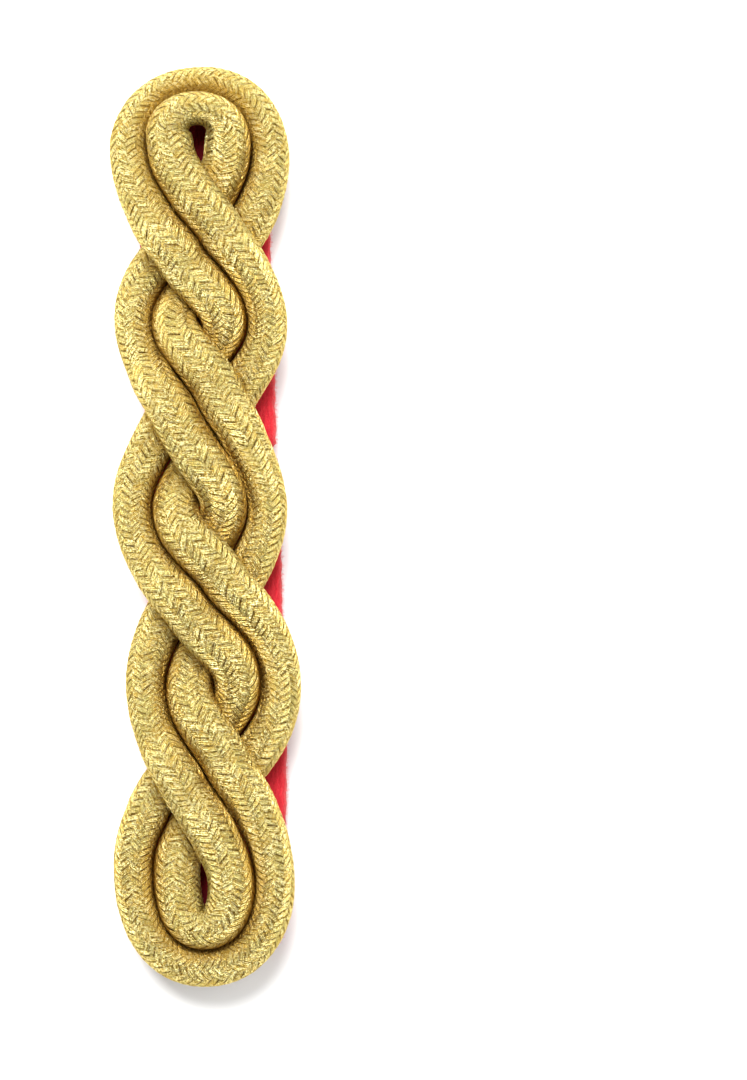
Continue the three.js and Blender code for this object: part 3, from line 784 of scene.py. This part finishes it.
def make_keeper(leather, raw):
    """The leather band, slightly uneven along its two cut edges."""
    ends = np.array([KEEPER_Y - KEEPER_WIDTH / 2, KEEPER_Y + KEEPER_WIDTH / 2])
    left, right = backing_edges(ends)
    left, right = left.min() - CLEARANCE, right.max() + CLEARANCE
    top = KEEPER_WALL + CLEARANCE + BACKING_LEVEL + BACKING_THICKNESS

    def outline(low_x, high_x, low_z, high_z, radius):
        """Points round a rounded rectangle, from the middle of its lower side."""
        turn = np.radians(np.linspace(0, 90, 7))
        corners = [
            (high_x - radius, low_z + radius, -90), (high_x - radius, high_z - radius, 0),
            (low_x + radius, high_z - radius, 90), (low_x + radius, low_z + radius, 180),
        ]
        line = []
        for cx, cz, start in corners:
            angle = np.radians(start) + turn
            line += list(zip(cx + radius * np.cos(angle), cz + radius * np.sin(angle), strict=True))
        flat = np.linspace(0, 1, 26)[1:-1]
        lower = [(low_x + radius + (high_x - low_x - 2 * radius) * s, low_z) for s in flat]
        upper = [(high_x - radius - (high_x - low_x - 2 * radius) * s, high_z) for s in flat]
        return np.array([*lower, *line[:14], *upper, *line[14:]])

    wall = KEEPER_WALL
    outer = outline(left - wall, right + wall, 0.0, top, KEEPER_BEND)
    inner = outline(left, right, wall, top - wall, KEEPER_BEND - wall)
    ring = len(outer)
    stations = np.linspace(-1, 1, KEEPER_ROWS)
    points = []
    for station in stations:
        y = KEEPER_Y + station * KEEPER_WIDTH / 2
        soft = 0.1 * abs(station) ** 10
        skin = outer + (inner - outer) * soft
        ragged = 0.1 * noise_at(outer[:, 0] * 0.4, station, outer[:, 1] * 0.8)
        points.append(np.column_stack([skin[:, 0], y + ragged * (abs(station) > 0.9), skin[:, 1]]))
    for station in stations[::-1]:
        y = KEEPER_Y + station * KEEPER_WIDTH / 2
        points.append(np.column_stack([inner[:, 0], np.full(ring, y), inner[:, 1]]))
    points = np.array(points)
    bumps = np.clip(wobble(points.reshape(-1, 3), 0.8, 21), -1, 1) * 0.03 + 0.03
    inward = np.concatenate([
        np.tile(inner - outer, (KEEPER_ROWS, 1)), np.zeros((KEEPER_ROWS * ring, 2))
    ])
    flat_points = points.reshape(-1, 3)
    flat_points[:, 0] += inward[:, 0] * bumps
    flat_points[:, 2] += inward[:, 1] * bumps
    rows = 2 * KEEPER_ROWS
    upper_edge = KEEPER_ROWS - 1
    faces = grid_faces(rows, ring, close_rows=True, close_columns=True)
    which = np.zeros(len(faces))
    row = np.arange(len(faces)) // ring
    which[(row == upper_edge) | (row == rows - 1)] = 1
    worn = np.zeros((rows, ring))
    worn[upper_edge] = 1.0
    plain = np.tile(smoothstep(outer[:, 0], 6.0, 7.0) + smoothstep(-outer[:, 0], 7.8, 8.6), rows)
    return mesh_piece("keeper_leather", flat_points, faces, [leather, raw], which,
                      {"worn": worn.ravel(), "plain": plain})


def outer_face(x, y):
    """How high the strap's outer face lies at places on it."""
    x, y = np.atleast_1d(np.asarray(x, float)), np.atleast_1d(np.asarray(y, float))
    return lift(y) + back_relief(x, y)


def make_stitches(thread):
    """Each stitch is a short thread that lies sunk in the leather and dives at both ends."""
    points, faces = [], []
    sides, rings = 8, 9
    shares = np.linspace(0.06, 0.94, rings)
    bow = np.sin(math.pi * shares)
    for a, b in stitches():
        run = b - a
        ahead = np.array([run[0], run[1], 0]) / np.hypot(*run)
        side = np.array([-ahead[1], ahead[0], 0])
        start = len(points)
        along = a + run * shares[:, None]
        level = outer_face(along[:, 0], along[:, 1]) + 0.12 - 0.22 * bow**0.6
        for place, high, rise in zip(along, level, bow, strict=True):
            radius = STITCH_RADIUS * (0.5 + 0.5 * rise**0.5)
            for k in range(sides):
                turn = 2 * math.pi * k / sides
                points.append(np.array([*place, high]) + side * math.cos(turn) * radius * 1.15
                              + np.array([0, 0, math.sin(turn) * radius]))
        faces += grid_faces(rings, sides, start, close_columns=True).tolist()
        faces.append(list(range(start, start + sides)))
        faces.append(list(range(start + (rings - 1) * sides, start + rings * sides))[::-1])
    return mesh_piece("strap_stitches", np.array(points), faces, [thread])


def make_needle_holes(dark):
    """Dark pits where the needle went through the strap, and two beside it in the cloth; their near-black
    colour is painted shade in the holes.
    """
    chance = np.random.default_rng(HOLES_SEED)
    spots = []
    for start, end, count, length, width in STITCH_SEAMS:
        a, b = np.array(STITCH_BOX[start]), np.array(STITCH_BOX[end])
        run = (b - a) / np.hypot(*(b - a))
        for k in range(count + 1):
            size = chance.uniform(0.65, 1.15)
            middle = a + (b - a) * k / count + chance.normal(0, 0.08, 2)
            spots.append((middle, run * length * size, np.array([-run[1], run[0]]) * width * size, None))
    for x, y, radius in CLOTH_HOLES:
        level = lift(np.array(y)) + BACKING_LEVEL
        spots.append((np.array([x, y]), np.array([radius, 0]), np.array([0, radius]), level))
    points, faces = [], []
    turns = np.linspace(0, 2 * math.pi, 12, endpoint=False)
    for middle, long, wide, level in spots:
        start = len(points)
        for share, deep in ((0.02, -0.1), (0.6, -0.1), (1.0, -0.06), (0.8, 0.3)):
            ragged = 1 + 0.16 * np.sin(3 * turns + middle[0] * 5)
            flat = middle + share * ragged[:, None] * (
                np.cos(turns)[:, None] * long + np.sin(turns)[:, None] * wide
            )
            on_strap = level is None
            face = outer_face(flat[:, 0], flat[:, 1]) if on_strap else np.full(len(turns), float(level))
            points += np.column_stack([flat, face + deep - 0.03]).tolist()
        faces += grid_faces(4, len(turns), start, close_columns=True).tolist()
        faces.append(list(range(start, start + len(turns))))
        faces.append(list(range(start + 3 * len(turns), start + 4 * len(turns)))[::-1])
    return mesh_piece("needle_holes", np.array(points), faces, [dark])


# Materials


class Nodes:
    """A short way to write a material's nodes."""

    def __init__(self, name):
        self.material = bpy.data.materials.new(name)
        self.material.use_nodes = True
        self.tree = self.material.node_tree
        self.shader = self.tree.nodes["Principled BSDF"]

    def add(self, kind, inputs=None, **settings):
        node = self.tree.nodes.new(kind)
        for key, value in settings.items():
            setattr(node, key, value)
        for key, value in (inputs or {}).items():
            self.give(node.inputs[key], value)
        return node

    def give(self, socket, value):
        if isinstance(value, bpy.types.NodeSocket):
            self.tree.links.new(value, socket)
        else:
            socket.default_value = value

    def math(self, operation, *values):
        node = self.add("ShaderNodeMath", operation=operation)
        for socket, value in zip(node.inputs, values):
            self.give(socket, value)
        return node.outputs[0]

    def times(self, first, second):
        return self.math("MULTIPLY", first, second)

    def plus(self, first, second):
        return self.math("ADD", first, second)

    def minus(self, first, second):
        return self.math("SUBTRACT", first, second)

    def mix(self, share, first, second):
        node = self.add("ShaderNodeMix", data_type="RGBA")
        self.give(node.inputs[0], share)
        self.give(node.inputs[6], first)
        self.give(node.inputs[7], second)
        return node.outputs[2]

    def noise(self, place, scale, detail=3.0, roughness=0.55, distortion=0.0):
        inputs = {"Vector": place, "Scale": scale, "Detail": detail, "Roughness": roughness,
                  "Distortion": distortion}
        return self.add("ShaderNodeTexNoise", inputs).outputs["Fac"]

    def spread(self, value, low, high, to_low=0.0, to_high=1.0):
        inputs = {"Value": value, "From Min": low, "From Max": high, "To Min": to_low, "To Max": to_high}
        return self.add("ShaderNodeMapRange", inputs).outputs[0]

    def place(self, scale=(1, 1, 1)):
        """The point's place on the object in millimetres, stretched by the scale."""
        place = self.add("ShaderNodeTexCoord").outputs["Object"]
        inputs = {"Vector": place, "Scale": [1000 * s for s in scale]}
        return self.add("ShaderNodeMapping", inputs).outputs[0]

    def cells(self, place):
        """How far the point is from the nearest border of an uneven mesh of cells."""
        inputs = {"Vector": place, "Scale": 1.0, "Randomness": 1.0}
        return self.add("ShaderNodeTexVoronoi", inputs, feature="DISTANCE_TO_EDGE").outputs[0]

    def value(self, name):
        return self.add("ShaderNodeAttribute", attribute_name=name).outputs["Fac"]

    def bump(self, height, strength, distance):
        inputs = {"Height": height, "Strength": strength, "Distance": distance}
        return self.add("ShaderNodeBump", inputs).outputs[0]

    def set(self, **inputs):
        for key, value in inputs.items():
            self.give(self.shader.inputs[key.replace("_", " ")], value)
        return self.material


def gold_braid():
    """Floats of fine metal threads: bright where they lie open, with painted glints, and painted shade
    between threads, at the float ends, in the gaps between floats and in the grooves between cords.
    """
    n = Nodes("gold_braid")
    uv = n.add("ShaderNodeUVMap", uv_map="thread").outputs[0]
    across = n.add("ShaderNodeSeparateXYZ", {"Vector": uv}).outputs[1]
    threads = n.math("ABSOLUTE", n.math("SINE", n.times(across, math.pi * 4)))
    stretched = n.add("ShaderNodeMapping", {"Vector": uv, "Scale": (1.6, 6.0, 1.0)}).outputs[0]
    streak = n.noise(stretched, 1.5, 2.0, 0.6)
    flecks = n.noise(n.place(), 3.2, 2.0, 0.6)
    patches = n.noise(n.place(), 0.35, 3.0, 0.6)
    from_middle = n.math("ABSOLUTE", n.minus(n.math("FRACT", across), 0.5))
    clear = n.spread(n.noise(n.place(), 0.55, 1.0, 0.5), 0.36, 0.56, 0.45, 1.0)
    # Painted shade: a near-black line along the sides of each float, where the gap to the next float
    # lies.
    gap = n.times(n.spread(from_middle, 0.35, 0.395), n.spread(streak, 0.35, 0.6, 1.0, 0.7))
    gap = n.times(gap, clear)
    # Painted shade at the float ends and sides, where they dip under the floats beside them; it is mixed
    # into the colour below.
    ends = n.spread(n.value("rise"), 0.85, 0.72, 0.0, 0.3)
    tone = n.value("tone")
    # Painted glints: the ramp gives bright flecks for highlights off single threads and dark flecks for
    # their shaded sides.
    blended = n.plus(n.times(streak, 0.45), n.times(flecks, 0.55))
    shade = n.add("ShaderNodeValToRGB", {"Fac": blended})
    shade.color_ramp.elements[0].position = 0.42
    shade.color_ramp.elements[0].color = (0.13, 0.085, 0.01, 1)
    shade.color_ramp.elements[1].position = 0.56
    shade.color_ramp.elements[1].color = (1.0, 0.94, 0.48, 1)
    middle = shade.color_ramp.elements.new(0.49)
    middle.color = (0.8, 0.64, 0.2, 1)
    warm = n.mix(n.spread(tone, 0.3, 1.0, 0.0, 0.55), shade.outputs[0], (0.4, 0.28, 0.06, 1))
    green = n.mix(n.spread(patches, 0.45, 0.65, 0, 0.5), warm, (0.5, 0.45, 0.14, 1))
    blush = n.noise(n.place(), 0.9, 2.0, 0.6)
    green = n.mix(n.spread(blush, 0.48, 0.68, 0, 0.42), green, (0.66, 0.42, 0.07, 1))
    # Painted shade between the threads of a float.
    groove = n.times(n.minus(1.0, threads), 0.25)
    with_thread_gap_shade = n.mix(groove, green, (0.36, 0.22, 0.04, 1))
    sunk = n.mix(ends, with_thread_gap_shade, (0.25, 0.14, 0.025, 1))
    # Painted shade in the grooves between cords and under crossings, with a darker painted line deepest
    # in the groove.
    groove_painted_shade = n.value("side")
    sunk = n.mix(n.times(groove_painted_shade, 0.75), sunk, (0.42, 0.225, 0.02, 1))
    sunk = n.mix(n.spread(groove_painted_shade, 0.85, 1.0, 0.0, 0.6), sunk, (0.13, 0.055, 0.004, 1))
    colour = n.mix(gap, sunk, (0.06, 0.024, 0.001, 1))
    height = n.plus(n.times(threads, 0.6), n.times(flecks, 2.2))
    height = n.plus(height, streak)
    rough = n.spread(flecks, 0.35, 0.65, 0.46, 0.28)
    tangent = n.add("ShaderNodeTangent", direction_type="UV_MAP", uv_map="thread").outputs[0]
    return n.set(
        Base_Color=colour, Metallic=0.92, Roughness=rough, Anisotropic=0.7, Anisotropic_Rotation=0.25,
        Specular_Tint=(1.0, 0.82, 0.45, 1), Tangent=tangent, Normal=n.bump(height, 0.9, 0.0002),
    )


def dark_core():
    """What shows between the floats, deep inside the braid: its near-black colour is painted shade."""
    n = Nodes("dark_core")
    tint = n.noise(n.place(), 2.0, 2.0)
    return n.set(Base_Color=n.mix(tint, (0.012, 0.004, 0.001, 1), (0.04, 0.015, 0.003, 1)), Roughness=0.8)


def red_felt():
    """Matted wool cloth with a nap along the piece, pale worn spots, and painted shade on top where the
    cords lie over it.
    """
    n = Nodes("red_felt")
    nap = n.noise(n.place((2.6, 0.7, 2.6)), 1.0, 4.0, 0.7, 0.4)
    fibre = n.noise(n.place((9.0, 3.0, 9.0)), 1.0, 3.0, 0.7, 1.2)
    parts = n.add("ShaderNodeSeparateXYZ", {"Vector": n.place()})
    rib = n.math("ABSOLUTE", n.math("SINE", n.times(parts.outputs[0], math.pi / 0.62)))
    pick = n.math("ABSOLUTE", n.math("SINE", n.times(parts.outputs[1], math.pi / 0.8)))
    weave = n.times(rib, n.plus(0.6, n.times(pick, 0.4)))
    weave = n.times(weave, n.value("woven"))
    red = n.mix(n.spread(nap, 0.3, 0.7), (0.34, 0.007, 0.014, 1), (0.6, 0.02, 0.034, 1))
    red = n.mix(n.spread(fibre, 0.55, 0.8, 0, 0.45), red, (0.9, 0.13, 0.11, 1))
    # Painted shade on the felt's top under the cords, seen through the holes of the loops.
    red = n.mix(n.times(n.value("under_cords_shade"), 0.8), red, (0.09, 0.002, 0.008, 1))
    height = n.plus(n.times(nap, 0.6), n.times(fibre, 0.5))
    height = n.plus(height, n.times(weave, 0.35))
    return n.set(
        Base_Color=red, Roughness=0.95, Sheen_Weight=0.45, Sheen_Roughness=0.45,
        Sheen_Tint=(1.0, 0.5, 0.45, 1), Specular_IOR_Level=0.15, Normal=n.bump(height, 0.8, 0.0003),
    )


def felt_fibre():
    n = Nodes("felt_fibre")
    tint = n.noise(n.place(), 0.9, 2.0)
    return n.set(
        Base_Color=n.mix(tint, (0.68, 0.035, 0.05, 1), (0.92, 0.17, 0.17, 1)), Roughness=0.8,
        Sheen_Weight=0.4, Sheen_Tint=(1.0, 0.55, 0.5, 1),
    )


def red_leather():
    """Thin soft leather: wrinkled all over, with painted shade in its creases and grain and painted pale
    highlights, darker and glossier at the stitched end, pale where cut.
    """
    n = Nodes("red_leather")
    parts = n.add("ShaderNodeSeparateXYZ", {"Vector": n.place()})
    low = n.spread(parts.outputs[1], -33.0, -43.0)
    bent = n.add("ShaderNodeMapping", {"Vector": n.place(), "Rotation": (0.0, 0.0, 0.35)}).outputs[0]
    stretched = n.add("ShaderNodeMapping", {"Vector": bent, "Scale": (0.6, 2.0, 0.8)}).outputs[0]
    warp = n.noise(n.place(), 0.8, 2.0, 0.6)
    moved = n.add("ShaderNodeVectorMath", {0: stretched, 1: n.times(warp, 1.8)}).outputs[0]
    folds = n.cells(moved)
    plain = n.minus(1.0, n.times(n.value("plain"), 0.8))
    grain = n.spread(n.cells(n.place((2.4, 3.4, 2.4))), 0.0, 0.3)
    fine = n.noise(n.place((4.5, 6.0, 4.5)), 1.0, 3.0, 0.65)
    where = n.spread(n.noise(n.place(), 0.3, 2.0, 0.5), 0.38, 0.6, 0.4, 0.85)
    depth = n.times(n.times(n.spread(folds, 0.2, 0.0), where), plain)
    rubbed = n.noise(n.place((0.35, 0.16, 0.35)), 1.0, 3.0, 0.6)
    red = n.mix(n.spread(rubbed, 0.35, 0.65), (0.6, 0.018, 0.032, 1), (0.74, 0.036, 0.052, 1))
    red = n.mix(low, red, (0.42, 0.006, 0.01, 1))
    red = n.mix(n.spread(parts.outputs[1], -59.4, -60.2, 0.0, 0.6), red, (0.68, 0.07, 0.1, 1))
    red = n.mix(n.times(n.value("plain"), 0.5), red, (0.5, 0.012, 0.022, 1))
    # Painted shade in the creases.
    red = n.mix(n.times(depth, 0.3), red, (0.25, 0.002, 0.006, 1))
    # Painted shade in the grain's pits.
    pitted = n.times(n.spread(grain, 0.0, 1.0, 0.14, 0.0), plain)
    red = n.mix(pitted, red, (0.3, 0.004, 0.01, 1))
    # Painted highlights: pale pink flecks on the grain.
    red = n.mix(n.spread(fine, 0.58, 0.75, 0, 0.25), red, (0.9, 0.22, 0.25, 1))
    frayed = n.noise(n.place((1.3, 0.5, 1.3)), 1.0, 3.0, 0.6)
    cut = n.spread(n.plus(n.value("worn"), n.times(frayed, 0.6)), 0.78, 1.05, 0.0, 0.9)
    red = n.mix(cut, red, (0.86, 0.5, 0.48, 1))
    height = n.minus(n.times(grain, n.times(plain, 0.5)), depth)
    height = n.plus(height, n.times(fine, 0.4))
    rough = n.minus(n.spread(fine, 0.3, 0.7, 0.36, 0.5), n.times(low, 0.14))
    return n.set(
        Base_Color=red, Roughness=rough, Specular_IOR_Level=0.5, Normal=n.bump(height, 1.0, 0.0003)
    )


def raw_edge():
    """The cut edge of the leather, pale and fibrous."""
    n = Nodes("raw_edge")
    fibre = n.noise(n.place((4.0, 1.2, 8.0)), 1.0, 4.0, 0.7)
    colour = n.mix(n.spread(fibre, 0.3, 0.7), (0.62, 0.12, 0.13, 1), (0.92, 0.58, 0.56, 1))
    return n.set(Base_Color=colour, Roughness=0.95, Normal=n.bump(fibre, 0.9, 0.0003))


def red_thread():
    n = Nodes("red_thread")
    turn = n.noise(n.place((7.0, 7.0, 7.0)), 1.0, 2.0)
    return n.set(
        Base_Color=n.mix(turn, (0.12, 0.003, 0.004, 1), (0.3, 0.01, 0.014, 1)), Roughness=0.6,
        Normal=n.bump(turn, 0.6, 0.0001),
    )


def needle_dark():
    # The near-black colour is painted shade inside the needle holes.
    n = Nodes("needle_dark")
    tint = n.noise(n.place(), 3.0, 1.0)
    return n.set(Base_Color=n.mix(tint, (0.008, 0.001, 0.001, 1), (0.03, 0.003, 0.004, 1)), Roughness=0.9)


# The pieces

gold, dark = gold_braid(), dark_core()
felt, leather, raw = red_felt(), red_leather(), raw_edge()
outer_points, inner_points = settled_cords()

outer_cord, inner_cord = Cord(outer_points), Cord(inner_points)

outer = make_cord("outer_braid", outer_cord, inner_cord, OUTER_SEED, gold, dark)
inner = make_cord("inner_braid", inner_cord, outer_cord, INNER_SEED, gold, dark)
backing = make_backing(felt)
fuzz = make_fuzz(felt_fibre())
strap = make_strap(leather, raw)
keeper = make_keeper(leather, raw)
seams = make_stitches(red_thread())
pits = make_needle_holes(needle_dark())

for piece, node, slot in (
    (outer, "outer_cord", "gold_braid"),
    (inner, "inner_cord", "gold_braid"),
    (backing, "backing", "backing_cloth"),
    (fuzz, "backing", "backing_cloth"),
    (strap, "strap", "red_leather"),
    (seams, "strap", "red_leather"),
    (pits, "strap", "red_leather"),
    (keeper, "keeper", "red_leather"),
):
    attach(piece, "root")
    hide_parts(node)

# The floor, the light and the camera, in metres
CAMERA_PLACE = (0.02568, -0.00197, 0.7)  # looking straight down, the object left of the middle
CAMERA_LENS = 151.5  # millimetres, for a picture 36 mm wide
KEY_PLACE, KEY_SIZE, KEY_POWER = (-0.12, 0.5, 0.76), 0.6, 20.5
FILL_PLACE, FILL_SIZE, FILL_POWER = (0.5, 0.1, 0.8), 0.7, 2.0


def make_floor():
    n = Nodes("pale_floor")
    mottle = n.noise(n.place(), 0.02, 2.0)
    material = n.set(
        Base_Color=n.mix(mottle, (0.84, 0.84, 0.835, 1), (0.86, 0.86, 0.86, 1)), Roughness=0.9,
        Specular_IOR_Level=0.1,
    )
    size = 1500.0
    points = [(-size, -size, 0), (size, -size, 0), (size, size, 0), (-size, size, 0)]
    return mesh_piece("floor", points, [[0, 1, 2, 3]], [material])


def area_light(name, place, size, power):
    """A round lamp that shines at the object's middle."""
    light = bpy.data.lights.new(name, "AREA")
    light.shape = "DISK"
    light.size = size
    light.energy = power
    lamp = bpy.data.objects.new(name, light)
    lamp.location = place
    lamp.rotation_mode = "QUATERNION"
    lamp.rotation_quaternion = (-Vector(place)).to_track_quat("-Z", "Y")
    bpy.context.scene.collection.objects.link(lamp)


make_floor()


def sky_range(tree, up, low, high, to_low, to_high):
    """How bright the sky is for rays that point up by low to high."""
    node = tree.nodes.new("ShaderNodeMapRange")
    for name, value in zip(("From Min", "From Max", "To Min", "To Max"), (low, high, to_low, to_high)):
        node.inputs[name].default_value = value
    tree.links.new(up, node.inputs["Value"])
    return node.outputs[0]


def make_sky():
    """A white dome, darker near the horizon and straight overhead."""
    world = bpy.data.worlds.new("studio")
    world.use_nodes = True
    tree = world.node_tree
    nodes, links = tree.nodes, tree.links
    split = nodes.new("ShaderNodeSeparateXYZ")
    links.new(nodes.new("ShaderNodeTexCoord").outputs["Generated"], split.inputs[0])
    strength = nodes.new("ShaderNodeMath")
    strength.operation = "MULTIPLY"
    links.new(sky_range(tree, split.outputs[2], 0.1, 0.8, 0.25, 1.1), strength.inputs[0])
    links.new(sky_range(tree, split.outputs[2], 0.93, 0.97, 1.0, 0.1), strength.inputs[1])
    links.new(strength.outputs[0], nodes["Background"].inputs["Strength"])
    nodes["Background"].inputs["Color"].default_value = (1.0, 1.0, 1.0, 1.0)
    bpy.context.scene.world = world


make_sky()
area_light("key", KEY_PLACE, KEY_SIZE, KEY_POWER)
area_light("fill", FILL_PLACE, FILL_SIZE, FILL_POWER)

camera_data = bpy.data.cameras.new("camera")
camera_data.sensor_width = 36.0
camera_data.lens = CAMERA_LENS
camera_data.clip_start = 0.01
camera = bpy.data.objects.new("camera", camera_data)
camera.location = CAMERA_PLACE
bpy.context.scene.collection.objects.link(camera)
bpy.context.scene.camera = camera
bpy.context.scene.view_settings.view_transform = "Standard"
